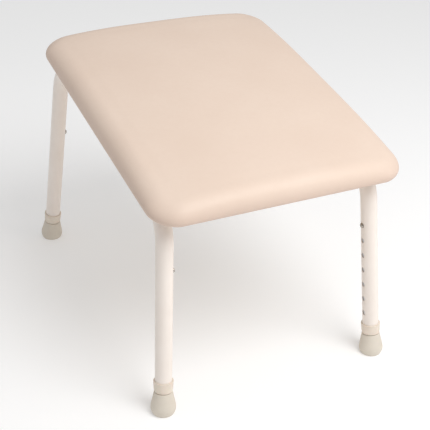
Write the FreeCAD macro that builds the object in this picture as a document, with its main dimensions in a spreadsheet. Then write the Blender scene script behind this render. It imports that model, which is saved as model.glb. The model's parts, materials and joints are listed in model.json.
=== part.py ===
import FreeCAD, Part
import math
import os
import types

import Sketcher

# Shower stool: a vinyl pad on a plywood board, carried by two bent tube side frames that two cross
# rails join. Each of the four legs is a tube that slides in the side frame and locks on a sprung button.
#
# The origin is on the floor, under the middle of the four feet. +Z is up, +Y runs from the low front
# edge of the seat to its high rear edge, and +X is to the right of someone who looks along +Y.
# Lengths are in millimetres and angles in degrees.

from FreeCAD import Placement, Rotation, Vector

DIMENSIONS = [
    ("seat_width", 398.0, "pad, left to right"),
    ("seat_length", 503.0, "pad, front to rear, along its slope"),
    ("seat_corner", 44.0, "radius of the pad's corners in plan"),
    ("seat_thickness", 34.0, "pad, cover to cover"),
    ("seat_edge_round", 22.0, "rounding of the pad's upper edge"),
    ("seat_lower_round", 7.0, "rounding of the pad's lower edge"),
    ("seat_slope", 8.3, "angle between the pad and the floor"),
    ("seat_height", 352.0, "underside of the pad over the floor, at its middle"),
    ("seat_offset", -28.4, "middle of the pad's underside along Y"),
    ("cover_thickness", 1.2, "vinyl"),
    ("hem_width", 28.0, "cover turned under the board"),
    ("board_thickness", 9.0, "plywood"),
    ("lining_gap", 0.2, "room between the cover and what it holds"),
    ("foot_half_width", 181.4, "leg axes on the floor, from the middle, along X"),
    ("foot_half_length", 265.3, "leg axes on the floor, from the middle, along Y"),
    ("side_splay", 3.24, "lean of each side frame"),
    ("end_splay", 7.78, "lean of each leg in its side frame"),
    ("tube_diameter", 25.4, "side frame tube"),
    ("tube_wall", 1.5, "side frame tube"),
    ("bend_radius", 65.0, "side frame, to the middle of the tube"),
    ("tube_seat_gap", 0.1, "between the side frames and the board"),
    ("rail_diameter", 19.0, "cross rails"),
    ("rail_wall", 1.2, "cross rails"),
    ("rail_front", -95.0, "front cross rail, along the seat from its middle"),
    ("rail_rear", 135.0, "rear cross rail, along the seat from its middle"),
    ("weld_gap", 0.05, "between a cross rail's end and the tube"),
    ("leg_diameter", 22.2, "inner leg tube"),
    ("leg_wall", 1.2, "inner leg tube"),
    ("leg_top", 256.0, "upper end of the inner leg, along its axis"),
    ("frame_bottom", 40.0, "lower end of the side frame's legs"),
    ("hole_pitch", 25.4, "height adjustment"),
    ("hole_count", 7.0, "height adjustment"),
    ("top_hole", 227.0, "uppermost adjustment hole, along the leg"),
    ("frame_hole", 8.4, "adjustment hole"),
    ("leg_hole", 8.2, "button hole in the inner leg"),
    ("button_diameter", 7.8, "snap button"),
    ("button_stand", 3.0, "how far the button stands out of the frame tube"),
    ("flange_diameter", 9.6, "button's flange inside the inner leg"),
    ("flange_outer_face", 8.4, "flange, from the leg's axis"),
    ("flange_thickness", 1.0, "button's flange"),
    ("spring_width", 8.0, "button spring strip"),
    ("spring_strip", 0.6, "thickness of the button spring strip"),
    ("spring_drop", 36.0, "from the button down to the spring's fold"),
    ("spring_fold", 2.6, "radius of the spring's fold"),
    ("spring_rear_face", 8.7, "back of the spring's other arm, from the leg's axis"),
    ("collar_bottom", 36.0, "lower face of the collar"),
    ("collar_step", 39.8, "where the collar's neck meets its band"),
    ("collar_top", 53.0, "upper face of the collar"),
    ("collar_neck_diameter", 27.4, "collar below the band"),
    ("collar_low_diameter", 28.6, "band, at the neck"),
    ("collar_high_diameter", 29.8, "band, at the top"),
    ("collar_lip", 0.6, "rounding of the collar's edges"),
    ("collar_bore_gap", 0.2, "round the inner leg"),
    ("press_gap", 0.05, "between pieces that are pressed together"),
    ("ferrule_top", 34.8, "upper face of the ferrule"),
    ("ferrule_neck_diameter", 28.2, "ferrule at its top"),
    ("ferrule_lip", 1.2, "rounding of the ferrule's upper edge"),
    ("ferrule_diameter", 37.6, "ferrule at its widest"),
    ("ferrule_wide_height", 8.6, "where the ferrule is widest"),
    ("ferrule_belly", 4.5, "height of the round belly above the widest level"),
    ("sole_diameter", 29.0, "lower end of the ferrule before it is trimmed to the floor"),
    ("sole_depth", 2.8, "ferrule below the floor before it is trimmed"),
    ("socket_floor", 8.0, "bottom of the ferrule's socket"),
    ("tread_recess_diameter", 11.0, "hollow in the middle of the sole"),
    ("tread_groove_inner", 17.0, "ring groove in the sole"),
    ("tread_groove_outer", 21.0, "ring groove in the sole"),
    ("tread_depth", 1.6, "hollow and groove"),
    ("foot_washer_thickness", 1.5, "steel disc under the inner leg"),
    ("foot_washer_bore", 8.0, "steel disc under the inner leg"),
    ("plug_head", 2.0, "plug on the inner leg's upper end"),
    ("plug_stem", 12.0, "plug inside the inner leg"),
    ("plug_bore", 14.0, "plug"),
    ("fixing_front", -130.0, "front seat bolts, along the seat from its middle"),
    ("fixing_rear", 170.0, "rear seat bolts, along the seat from its middle"),
    ("bolt_diameter", 6.0, "seat bolts"),
    ("bolt_hole", 6.6, "seat bolt holes in the side frames"),
    ("bolt_head_diameter", 11.0, "seat bolts"),
    ("bolt_head_height", 3.3, "seat bolts"),
    ("bolt_socket", 4.0, "hexagon socket, across its flats"),
    ("bolt_socket_depth", 2.0, "hexagon socket"),
    ("bolt_tip_gap", 1.0, "bolt end below the top of the board"),
    ("saddle_diameter", 15.0, "saddle washer"),
    ("saddle_thickness", 2.0, "saddle washer under the middle of the tube"),
    ("nut_flange_diameter", 18.0, "tee nut"),
    ("nut_flange_thickness", 1.2, "tee nut"),
    ("nut_barrel_diameter", 8.0, "tee nut"),
    ("nut_bore", 6.2, "tee nut"),
    ("nut_gap", 0.1, "round the tee nut in the board"),
    ("staple_crown", 11.0, "staple"),
    ("staple_wire", 0.9, "staple"),
    ("staple_strip", 0.5, "staple"),
    ("staple_leg", 6.0, "staple"),
    ("staple_inset", 19.0, "staples, from the pad's edge"),
    ("staple_spacing", 46.0, "between staples, at most"),
]


class Size:
    """A number worked out from the sheet, with the formula that the document works it out by."""

    def __init__(self, formula, value):
        self.formula = formula
        self.value = value

    def __add__(self, other):
        other = as_size(other)
        return Size(f"({self.formula} + {other.formula})", self.value + other.value)

    def __sub__(self, other):
        other = as_size(other)
        return Size(f"({self.formula} - {other.formula})", self.value - other.value)

    def __mul__(self, other):
        other = as_size(other)
        return Size(f"({self.formula} * {other.formula})", self.value * other.value)

    def __truediv__(self, other):
        other = as_size(other)
        return Size(f"({self.formula} / {other.formula})", self.value / other.value)

    def __neg__(self):
        return Size(f"(-1 * {self.formula})", -self.value)


def as_size(number):
    """The same number as a Size."""
    if isinstance(number, Size):
        return number
    return Size(f"({float(number)})", float(number))


def sine(angle):
    """Sine of a Size in degrees."""
    return Size(f"sin({angle.formula})", math.sin(math.radians(angle.value)))


def cosine(angle):
    """Cosine of a Size in degrees."""
    return Size(f"cos({angle.formula})", math.cos(math.radians(angle.value)))


def tangent(angle):
    """Tangent of a Size in degrees."""
    return Size(f"tan({angle.formula})", math.tan(math.radians(angle.value)))


def bind(thing, attribute, size):
    """Tie one property of an object to the sheet."""
    thing.setExpression(attribute, as_size(size).formula)


def make_sheet(doc):
    """The driving dimensions as a spreadsheet, returned as one Size for each alias."""
    sheet = doc.addObject("Spreadsheet::Sheet", "Dimensions")
    sizes = {}
    for row, (alias, value, note) in enumerate(DIMENSIONS, start=1):
        sheet.set(f"A{row}", note)
        sheet.set(f"B{row}", str(value))
        sheet.setAlias(f"B{row}", alias)
        sizes[alias] = Size(f"Dimensions.{alias}", value)
    doc.recompute()
    return types.SimpleNamespace(**sizes)


DOC = FreeCAD.newDocument("shower_stool")
D = make_sheet(DOC)

# Sizes that several pieces share.
TUBE_RADIUS = D.tube_diameter / 2
TUBE_BORE = TUBE_RADIUS - D.tube_wall
LEG_RADIUS = D.leg_diameter / 2
LEG_BORE = LEG_RADIUS - D.leg_wall
RUN_LEVEL = D.cover_thickness - D.tube_seat_gap - TUBE_RADIUS
LEG_BOTTOM = D.socket_floor + D.foot_washer_thickness
BOARD_TOP = D.cover_thickness + D.board_thickness

SIDES = {"left": -1, "right": 1}
ENDS = {"front": -1, "rear": 1}
CORNERS = [(f"{end}_{side}", SIDES[side], ENDS[end]) for side in SIDES for end in ENDS]

X_AXIS = Vector(1, 0, 0)
Y_AXIS = Vector(0, 1, 0)
Z_AXIS = Vector(0, 0, 1)
SEAT_PLACE = Placement(
    Vector(0, D.seat_offset.value, D.seat_height.value), Rotation(X_AXIS, D.seat_slope.value)
)


def side_place(side):
    """Where a side frame stands: its own YZ plane holds the middle of the bent tube."""
    foot = Vector(side * D.foot_half_width.value, 0, 0)
    return Placement(foot, Rotation(Y_AXIS, -side * D.side_splay.value))


def leg_place(side, end):
    """A leg's own frame: Z up along the leg from the floor, X towards the middle of the stool."""
    foot = Vector(0, end * D.foot_half_length.value, 0)
    lean = Placement(foot, Rotation(X_AXIS, end * D.end_splay.value))
    turn = Placement(Vector(), Rotation(Z_AXIS, 180 if side > 0 else 0))
    return side_place(side).multiply(lean).multiply(turn)


def run_spread(along):
    """Half the distance between the middle lines of the two top runs, at a place along the seat."""
    height = D.seat_height + along * sine(D.seat_slope) + RUN_LEVEL * cosine(D.seat_slope)
    return D.foot_half_width - height * tangent(D.side_splay)


def run_point(side, along):
    """A point on the middle line of a side frame's top run, in the seat's frame."""
    return Vector(side * run_spread(along).value, along.value, RUN_LEVEL.value)


# Sketches and features.


def new_body(name, placement):
    """An empty body at its place."""
    body = DOC.addObject("PartDesign::Body", name)
    body.Placement = placement
    return body


def origin_feature(body, role):
    """One of the body's own planes or axes."""
    return next(item for item in body.Origin.OriginFeatures if item.Role == role)


def new_sketch(body, plane, lift=None, turn=0.0):
    """A sketch on one of the body's planes, raised by lift and turned about the plane's normal."""
    sketch = body.newObject("Sketcher::SketchObject", f"{body.Name}_sketch")
    sketch.AttachmentSupport = [(origin_feature(body, plane), "")]
    sketch.MapMode = "FlatFace"
    if turn:
        sketch.AttachmentOffset = Placement(Vector(), Rotation(Z_AXIS, turn))
    if lift is not None:
        bind(sketch, "AttachmentOffset.Base.z", lift)
    return sketch


def constrain(sketch, kind, *where, size=None):
    """A sketch constraint, tied to the sheet if it has a size."""
    if size is None:
        return sketch.addConstraint(Sketcher.Constraint(kind, *where))
    size = as_size(size)
    index = sketch.addConstraint(Sketcher.Constraint(kind, *where, size.value))
    bind(sketch, f"Constraints[{index}]", size)
    return index


def pin(sketch, item, end, point):
    """Hold one point of a sketch's geometry at its place from the sketch's origin."""
    constrain(sketch, "DistanceX", -1, 1, item, end, size=point[0])
    constrain(sketch, "DistanceY", -1, 1, item, end, size=point[1])


def flat(point):
    """A point of two Sizes as a vector in the sketch's plane."""
    return Vector(as_size(point[0]).value, as_size(point[1]).value, 0)


def circle(sketch, centre, diameter):
    """A circle with its centre pinned."""
    shape = Part.Circle(flat(centre), Z_AXIS, as_size(diameter).value / 2)
    item = sketch.addGeometry(shape, False)
    pin(sketch, item, 3, centre)
    constrain(sketch, "Diameter", item, size=diameter)


def arc_between(start, finish, radius, turn):
    """An arc that goes anticlockwise for turn 1 and clockwise for -1, and less than half round."""
    chord = finish - start
    middle = (start + finish) * 0.5
    rise = math.sqrt(radius**2 - (chord.Length / 2) ** 2)
    across = Vector(-chord.y, chord.x, 0).normalize()
    centre = middle + across * (rise * turn)
    first, last = (start, finish) if turn > 0 else (finish, start)
    angles = [math.atan2(p.y - centre.y, p.x - centre.x) for p in (first, last)]
    return Part.ArcOfCircle(Part.Circle(centre, Z_AXIS, radius), *angles)


def upright_arc(across, along):
    """Radius of an arc that sets off square to across and ends across and along from its start."""
    return (across + along * along / across) / 2


def outline(sketch, points, arcs=None):
    """A closed outline through pinned points. arcs maps a point's number to the radius and turn of
    the arc that follows it; the other points are followed by straight lines."""
    arcs = arcs or {}
    ends = []
    for number, point in enumerate(points):
        start = flat(point)
        finish = flat(points[(number + 1) % len(points)])
        if number in arcs:
            radius, turn = arcs[number]
            item = sketch.addGeometry(arc_between(start, finish, radius.value, turn), False)
            constrain(sketch, "Radius", item, size=radius)
            ends.append((item, 1, 2) if turn > 0 else (item, 2, 1))
        else:
            item = sketch.addGeometry(Part.LineSegment(start, finish), False)
            ends.append((item, 1, 2))
    for number, (item, first, last) in enumerate(ends):
        following, its_first, _ = ends[(number + 1) % len(ends)]
        constrain(sketch, "Coincident", item, last, following, its_first)
        pin(sketch, item, first, points[number])


def rounded_rectangle(sketch, width, length, corner):
    """A rectangle about the sketch's origin with round corners."""
    half_x = width / 2 - corner
    half_y = length / 2 - corner
    quarter = math.pi / 2
    signs = [(1, 1), (-1, 1), (-1, -1), (1, -1)]
    centres = [(half_x * sx, half_y * sy) for sx, sy in signs]
    corners = []
    for number, centre in enumerate(centres):
        ring = Part.Circle(flat(centre), Z_AXIS, corner.value)
        arc = Part.ArcOfCircle(ring, number * quarter, (number + 1) * quarter)
        corners.append(sketch.addGeometry(arc, False))
    for number, arc in enumerate(corners):
        following = corners[(number + 1) % 4]
        start = sketch.getPoint(arc, 2)
        finish = sketch.getPoint(following, 1)
        line = sketch.addGeometry(Part.LineSegment(start, finish), False)
        constrain(sketch, "Tangent", arc, 2, line, 1)
        constrain(sketch, "Tangent", line, 2, following, 1)
    for arc, centre in zip(corners, centres):
        pin(sketch, arc, 3, centre)
        constrain(sketch, "Radius", arc, size=corner)


def bent_line(sketch, points, radius):
    """Straight runs through the points, joined by tangent arcs of one radius."""
    flats = [flat(point) for point in points]
    legs = [(b - a).normalize() for a, b in zip(flats, flats[1:])]
    cuts = []
    for before, after in zip(legs, legs[1:]):
        half_turn = before.getAngle(after) / 2
        cuts.append(radius.value * math.tan(half_turn))
    lines = []
    for number, leg in enumerate(legs):
        start = flats[number] + leg * (cuts[number - 1] if number else 0)
        finish = flats[number + 1] - leg * (cuts[number] if number < len(cuts) else 0)
        lines.append(sketch.addGeometry(Part.LineSegment(start, finish), False))
    for number, cut in enumerate(cuts):
        before, after = lines[number], lines[number + 1]
        turn = 1 if legs[number].cross(legs[number + 1]).z > 0 else -1
        start = sketch.getPoint(before, 2)
        finish = sketch.getPoint(after, 1)
        arc = sketch.addGeometry(arc_between(start, finish, radius.value, turn), False)
        first, last = (1, 2) if turn > 0 else (2, 1)
        constrain(sketch, "Tangent", before, 2, arc, first)
        constrain(sketch, "Tangent", after, 1, arc, last)
        constrain(sketch, "Radius", arc, size=radius)
        corner = sketch.addGeometry(Part.Point(flats[number + 1]), True)
        constrain(sketch, "PointOnObject", corner, 1, before)
        constrain(sketch, "PointOnObject", corner, 1, after)
        pin(sketch, corner, 1, points[number + 1])
    pin(sketch, lines[0], 1, points[0])
    pin(sketch, lines[-1], 2, points[-1])


def pad(body, sketch, length, both_ways=False):
    """A pad along the sketch's normal."""
    feature = body.newObject("PartDesign::Pad", f"{body.Name}_pad")
    feature.Profile = sketch
    feature.Midplane = both_ways
    bind(feature, "Length", length)
    DOC.recompute()
    return feature


def pocket(body, sketch, length, reverse=False):
    """A pocket against the sketch's normal, or along it if reverse, that has to cut something."""
    before = body.Shape.Volume
    feature = body.newObject("PartDesign::Pocket", f"{body.Name}_pocket")
    feature.Profile = sketch
    feature.Reversed = reverse
    bind(feature, "Length", length)
    DOC.recompute()
    if body.Shape.Volume > before - 0.1:
        raise RuntimeError(f"{body.Name}: a pocket cut nothing")
    return feature


def revolve(body, sketch, axis="V_Axis"):
    """A full turn about one of the sketch's axes."""
    feature = body.newObject("PartDesign::Revolution", f"{body.Name}_revolution")
    feature.Profile = sketch
    feature.ReferenceAxis = (sketch, [axis])
    feature.Angle = 360.0
    DOC.recompute()
    return feature


def round_edges(body, feature, level, radius):
    """Fillet every edge that lies flat at a level of the body's own Z."""
    names = []
    for number, edge in enumerate(feature.Shape.Edges, start=1):
        if all(abs(vertex.Z - level.value) < 1e-4 for vertex in edge.Vertexes):
            names.append(f"Edge{number}")
    fillet = body.newObject("PartDesign::Fillet", f"{body.Name}_fillet")
    fillet.Base = (feature, names)
    bind(fillet, "Radius", radius)
    DOC.recompute()
    return fillet


def sweep(body, profile, path):
    """A profile carried along every edge of a path sketch."""
    pipe = body.newObject("PartDesign::AdditivePipe", f"{body.Name}_pipe")
    edges = [f"Edge{number}" for number in range(1, len(path.Shape.Edges) + 1)]
    pipe.Profile = profile
    pipe.Spine = (path, edges)
    DOC.recompute()
    return pipe


def cylinder(name, radius, height, placement):
    """A plain cylinder along its own Z."""
    solid = DOC.addObject("Part::Cylinder", name)
    bind(solid, "Radius", radius)
    bind(solid, "Height", height)
    solid.Placement = placement
    return solid


def cut(name, base, *tools):
    """The base with each tool taken away in turn."""
    for tool in tools:
        result = DOC.addObject("Part::Cut", name)
        result.Base = base
        result.Tool = tool
        DOC.recompute()
        if result.Shape.Volume > base.Shape.Volume - 1e-3:
            raise RuntimeError(f"{name}: a tool cut nothing")
        base = result
    return base


def group(name, members):
    """Separate solids that share one node."""
    compound = DOC.addObject("Part::Compound", name)
    compound.Links = members
    DOC.recompute()
    return compound


# The seat: cover, foam and board, all in the seat's frame, whose Z is square to the pad.


def pad_block(name, inset, low, high, upper_round=None, lower_round=None):
    """A block with the pad's plan, shrunk all round by inset, from one level to another."""
    body = new_body(name, SEAT_PLACE)
    sketch = new_sketch(body, "XY_Plane", lift=low)
    width = D.seat_width - inset * 2
    length = D.seat_length - inset * 2
    rounded_rectangle(sketch, width, length, D.seat_corner - inset)
    feature = pad(body, sketch, high - low)
    if upper_round is not None:
        feature = round_edges(body, feature, high, upper_round)
    if lower_round is not None:
        round_edges(body, feature, low, lower_round)
    return body


def seat_cover():
    """Vinyl over the foam and round the board, with an open middle underneath."""
    skin = D.cover_thickness
    none = as_size(0)
    outside = pad_block(
        "cover_outside", none, none, D.seat_thickness, D.seat_edge_round, D.seat_lower_round
    )
    inside = pad_block(
        "cover_inside",
        skin,
        skin,
        D.seat_thickness - skin,
        D.seat_edge_round - skin,
        D.seat_lower_round - skin,
    )
    opening = pad_block("cover_opening", D.hem_width, -skin, skin * 2)
    return cut("seat_cover", outside, inside, opening)


def seat_foam():
    """Foam that fills the cover above the board."""
    inset = D.cover_thickness + D.lining_gap
    return pad_block(
        "seat_foam",
        inset,
        BOARD_TOP + D.lining_gap,
        D.seat_thickness - inset,
        upper_round=D.seat_edge_round - D.cover_thickness,
    )


def fixing_points():
    """Seat bolt positions as the side and the distance along the seat."""
    return [(side, along) for side in SIDES.values() for along in (D.fixing_front, D.fixing_rear)]


def fixing_place(side, along):
    """A seat bolt's own frame: Z up along the bolt from the plane of the pad's underside."""
    spot = run_point(side, along)
    return SEAT_PLACE.multiply(Placement(Vector(spot.x, spot.y, 0), Rotation()))


def seat_board():
    """Plywood with a stepped hole for each tee nut."""
    inset = D.cover_thickness + D.lining_gap
    block = pad_block(
        "board_block",
        inset,
        D.cover_thickness,
        BOARD_TOP,
        lower_round=D.seat_lower_round - D.cover_thickness,
    )
    barrel_hole = D.nut_barrel_diameter / 2 + D.nut_gap
    flange_hole = D.nut_flange_diameter / 2 + D.nut_gap
    tools = []
    for side, along in fixing_points():
        place = fixing_place(side, along)
        recess_floor = (BOARD_TOP - D.nut_flange_thickness).value
        recess_place = place.multiply(Placement(Vector(0, 0, recess_floor), Rotation()))
        tools.append(cylinder("board_hole", barrel_hole, BOARD_TOP, place))
        tools.append(cylinder("board_recess", flange_hole, D.nut_flange_thickness, recess_place))
    return cut("seat_board", block, *tools)


def turned_piece(name, placement, points, arcs=None):
    """A piece turned about its own Z, from half its section."""
    body = new_body(name, placement)
    sketch = new_sketch(body, "XZ_Plane")
    outline(sketch, points, arcs)
    revolve(body, sketch)
    return body


def tee_nut(side, along):
    """Flange on the board's upper face and a barrel down through the board."""
    flange_low = BOARD_TOP - D.nut_flange_thickness
    barrel_low = D.cover_thickness + 1
    bore = D.nut_bore / 2
    points = [
        (bore, barrel_low),
        (D.nut_barrel_diameter / 2, barrel_low),
        (D.nut_barrel_diameter / 2, flange_low),
        (D.nut_flange_diameter / 2, flange_low),
        (D.nut_flange_diameter / 2, BOARD_TOP),
        (bore, BOARD_TOP),
    ]
    return turned_piece("tee_nut", fixing_place(side, along), points)


def saddle_low():
    """Level of the saddle washers' lower face, in the seat's frame."""
    return RUN_LEVEL - TUBE_RADIUS - D.saddle_thickness


def seat_bolt(side, along):
    """Domed head under the saddle washer and a shank up into the tee nut."""
    under_head = saddle_low()
    foot = under_head - D.bolt_head_height
    tip = BOARD_TOP - D.bolt_tip_gap
    shank = D.bolt_diameter / 2
    head = D.bolt_head_diameter / 2
    bevel = D.bolt_diameter / 10
    points = [
        (as_size(0), tip),
        (as_size(0), foot),
        (head / 2, foot),
        (head, under_head - bevel),
        (head, under_head),
        (shank, under_head),
        (shank, tip - bevel),
        (shank - bevel, tip),
    ]
    arcs = {2: (D.bolt_head_diameter * 0.45, 1)}
    body = turned_piece("seat_bolt", fixing_place(side, along), points, arcs)
    socket = new_sketch(body, "XY_Plane", lift=foot)
    reach = D.bolt_socket / 3**0.5
    rays = [math.radians(60 * number) for number in range(6)]
    outline(socket, [(reach * math.cos(ray), reach * math.sin(ray)) for ray in rays])
    pocket(body, socket, D.bolt_socket_depth, reverse=True)
    return body


def run_cylinder(side, radius):
    """A solid cylinder along a side frame's top run, longer than the run."""
    low = SEAT_PLACE.multVec(run_point(side, -D.seat_length / 2))
    high = SEAT_PLACE.multVec(run_point(side, D.seat_length / 2))
    place = Placement(low, Rotation(Z_AXIS, high - low))
    return cylinder("run_cylinder", radius, D.seat_length, place)


def saddle_washer(side, along):
    """Washer whose upper face fits the round underside of the tube."""
    low = saddle_low()
    outer = D.saddle_diameter / 2
    bore = D.bolt_hole / 2
    high = low + outer
    points = [(bore, low), (outer, low), (outer, high), (bore, high)]
    blank = turned_piece("saddle_blank", fixing_place(side, along), points)
    return cut("saddle_washer", blank, run_cylinder(side, TUBE_RADIUS + D.press_gap))


def staple_places():
    """Places of the staples, each with X along its crown, in a ring inside the pad's edge."""
    half_x = D.seat_width.value / 2 - D.staple_inset.value
    half_y = D.seat_length.value / 2 - D.staple_inset.value
    radius = D.seat_corner.value - D.staple_inset.value
    places = []
    for half, across, turn in ((half_x, half_y, 0), (half_y, half_x, 90)):
        reach = half - radius
        steps = math.ceil(2 * reach / D.staple_spacing.value)
        for face in (-1, 1):
            for step in range(steps + 1):
                spot = Vector(-reach + 2 * reach * step / steps, face * across, 0)
                rotation = Rotation(Z_AXIS, turn)
                places.append(Placement(rotation.multVec(spot), rotation))
    for turn in (45, 135, 225, 315):
        outward = Rotation(Z_AXIS, turn).multVec(X_AXIS)
        middle = Vector(
            math.copysign(half_x - radius, outward.x), math.copysign(half_y - radius, outward.y), 0
        )
        places.append(Placement(middle + outward * radius, Rotation(Z_AXIS, turn + 90)))
    return places


def seat_staples():
    """Flat wire staples that hold the turned-under cover to the board."""
    crown = D.staple_crown.value
    wire = D.staple_wire.value
    strip = D.staple_strip.value
    leg = D.staple_leg.value
    bar = Part.makeBox(crown, wire, strip, Vector(-crown / 2, -wire / 2, -strip))
    one = bar
    for start in (-crown / 2, crown / 2 - strip):
        one = one.fuse(Part.makeBox(strip, wire, leg, Vector(start, -wire / 2, 0)))
    one = one.removeSplitter()
    staples = []
    for place in staple_places():
        staple = one.copy()
        staple.Placement = place
        staples.append(staple)
    feature = DOC.addObject("Part::Feature", "seat_staples")
    feature.Shape = Part.makeCompound(staples)
    feature.Placement = SEAT_PLACE
    return feature


# The frame.


def side_path():
    """Corner points of the bent tube in the side frame's own YZ plane, and its two ends."""
    tip_up = tangent(D.seat_slope) / cosine(D.side_splay)
    splay = tangent(D.end_splay)
    along = (RUN_LEVEL * sine(D.seat_slope) - D.seat_offset) / cosine(D.seat_slope)
    rise = D.seat_height + along * sine(D.seat_slope) + RUN_LEVEL * cosine(D.seat_slope)
    level = rise / cosine(D.side_splay)
    front = (splay * level - D.foot_half_length) / (as_size(1) - splay * tip_up)
    rear = (D.foot_half_length - splay * level) / (as_size(1) + splay * tip_up)
    end_in = D.foot_half_length - D.frame_bottom * sine(D.end_splay)
    end_up = D.frame_bottom * cosine(D.end_splay)
    return [
        (-end_in, end_up),
        (front, level + front * tip_up),
        (rear, level + rear * tip_up),
        (end_in, end_up),
    ]


def side_frame(name, side):
    """Tube bent into an upturned U, with adjustment holes in the inner face of each leg."""
    body = new_body(f"{name}_tube", side_place(side))
    path = new_sketch(body, "YZ_Plane")
    points = side_path()
    bent_line(path, points, D.bend_radius)
    DOC.recompute()
    section = body.newObject("Sketcher::SketchObject", f"{body.Name}_section")
    start = flat(points[0])
    lean = Rotation(X_AXIS, -D.end_splay.value)
    section.AttachmentSupport = [(origin_feature(body, "XY_Plane"), "")]
    section.MapMode = "FlatFace"
    section.AttachmentOffset = Placement(Vector(0, start.x, start.y), lean)
    middle = (as_size(0), as_size(0))
    circle(section, middle, D.tube_diameter)
    circle(section, middle, TUBE_BORE * 2)
    sweep(body, section, path)
    for end in ENDS.values():
        foot = Vector(end * D.foot_half_length.value, 0, 0)
        holes = new_sketch(body, "YZ_Plane")
        holes.AttachmentOffset = Placement(foot, Rotation(Z_AXIS, end * D.end_splay.value))
        circle(holes, (as_size(0), D.top_hole), D.frame_hole)
        hole = pocket(body, holes, D.tube_diameter, reverse=side < 0)
        row = body.newObject("PartDesign::LinearPattern", f"{body.Name}_holes")
        row.Originals = [hole]
        row.Direction = (holes, ["V_Axis"])
        row.Reversed = True
        bind(row, "Length", D.hole_pitch * (D.hole_count - 1))
        row.Occurrences = int(D.hole_count.value)
        body.Tip = row
        DOC.recompute()
    drills = []
    for along in (D.fixing_front, D.fixing_rear):
        drop = Placement(Vector(0, 0, -2 * D.tube_diameter.value), Rotation())
        place = fixing_place(side, along).multiply(drop)
        drills.append(cylinder("bolt_drill", D.bolt_hole / 2, D.tube_diameter * 3, place))
    return cut(name, body, *drills)


def cross_rail(name, along):
    """Straight tube between the side frames, its ends shaped to their round sides."""
    length = run_spread(along) * 2
    start = Placement(run_point(-1, along), Rotation(Y_AXIS, 90))
    place = SEAT_PLACE.multiply(start)
    bar = cylinder(f"{name}_outside", D.rail_diameter / 2, length, place)
    bore = cylinder(f"{name}_bore", D.rail_diameter / 2 - D.rail_wall, length, place)
    saddles = [run_cylinder(side, TUBE_RADIUS + D.weld_gap) for side in SIDES.values()]
    return cut(name, bar, bore, *saddles)


def collar(name, place):
    """Plastic sleeve on the end of the frame tube that guides the inner leg through its neck."""
    grip = TUBE_RADIUS + D.press_gap
    guide = LEG_RADIUS + D.collar_bore_gap
    lip = D.collar_lip
    points = [
        (guide, D.collar_bottom),
        (D.collar_neck_diameter / 2 - lip, D.collar_bottom),
        (D.collar_neck_diameter / 2, D.collar_bottom + lip),
        (D.collar_neck_diameter / 2, D.collar_step),
        (D.collar_low_diameter / 2, D.collar_step),
        (D.collar_high_diameter / 2, D.collar_top - lip),
        (D.collar_high_diameter / 2 - lip, D.collar_top),
        (grip, D.collar_top),
        (grip, D.frame_bottom),
        (guide, D.frame_bottom),
    ]
    return turned_piece(name, place, points, {1: (lip, 1), 5: (lip, 1)})


# One leg, in its own frame.


def inner_leg(name, place):
    """Tube from the ferrule's washer up into the frame tube, with one hole for the button."""
    body = new_body(name, place)
    section = new_sketch(body, "XY_Plane", lift=LEG_BOTTOM)
    middle = (as_size(0), as_size(0))
    circle(section, middle, D.leg_diameter)
    circle(section, middle, LEG_BORE * 2)
    pad(body, section, D.leg_top - LEG_BOTTOM)
    hole = new_sketch(body, "YZ_Plane")
    circle(hole, (as_size(0), D.top_hole), D.leg_hole)
    pocket(body, hole, D.leg_diameter, reverse=True)
    return body


def ferrule(name, place):
    """Rubber foot: a cone on a round belly, trimmed flat to the floor, with a socket and a ring tread."""
    socket = LEG_RADIUS + D.press_gap
    top = D.ferrule_top
    neck = D.ferrule_neck_diameter / 2
    wide = D.ferrule_diameter / 2
    sole = D.sole_diameter / 2
    lip = D.ferrule_lip
    cone = top - lip - D.ferrule_wide_height
    belly_inset = D.ferrule_belly * (wide - neck) / (cone * 2 - D.ferrule_belly)
    belly = upright_arc(belly_inset, D.ferrule_belly)
    heel = upright_arc(wide - sole, D.ferrule_wide_height + D.sole_depth)
    points = [
        (as_size(0), -D.sole_depth),
        (sole, -D.sole_depth),
        (wide, D.ferrule_wide_height),
        (wide - belly_inset, D.ferrule_wide_height + D.ferrule_belly),
        (neck, top - lip),
        (neck - lip, top),
        (socket, top),
        (socket, D.socket_floor),
        (as_size(0), D.socket_floor),
    ]
    arcs = {1: (heel, 1), 2: (belly, 1), 4: (lip, 1)}
    bell = turned_piece(f"{name}_bell", place, points, arcs)
    foot = place.Base
    level = Placement(foot, Rotation())
    under = Placement(foot, Rotation(X_AXIS, 180))
    below = cylinder(f"{name}_floor", D.ferrule_diameter, D.ferrule_diameter, under)
    hollow = cylinder(f"{name}_hollow", D.tread_recess_diameter / 2, D.tread_depth, level)
    groove = cylinder(f"{name}_groove", D.tread_groove_outer / 2, D.tread_depth, level)
    island = cylinder(f"{name}_island", D.tread_groove_inner / 2, D.tread_depth, level)
    ring = cut(f"{name}_ring", groove, island)
    return cut(name, bell, below, hollow, ring)


def ferrule_washer(name, place):
    """Steel disc in the bottom of the ferrule's socket, under the leg's end."""
    outer = LEG_RADIUS
    bore = D.foot_washer_bore / 2
    points = [
        (bore, D.socket_floor),
        (outer, D.socket_floor),
        (outer, LEG_BOTTOM),
        (bore, LEG_BOTTOM),
    ]
    return turned_piece(name, place, points)


def glide_plug(name, place):
    """Plastic plug in the upper end of the leg."""
    stem = LEG_BORE - D.press_gap
    bore = D.plug_bore / 2
    points = [
        (bore, D.leg_top - D.plug_stem),
        (stem, D.leg_top - D.plug_stem),
        (stem, D.leg_top),
        (LEG_RADIUS, D.leg_top),
        (LEG_RADIUS, D.leg_top + D.plug_head),
        (bore, D.leg_top + D.plug_head),
    ]
    return turned_piece(name, place, points)


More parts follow.
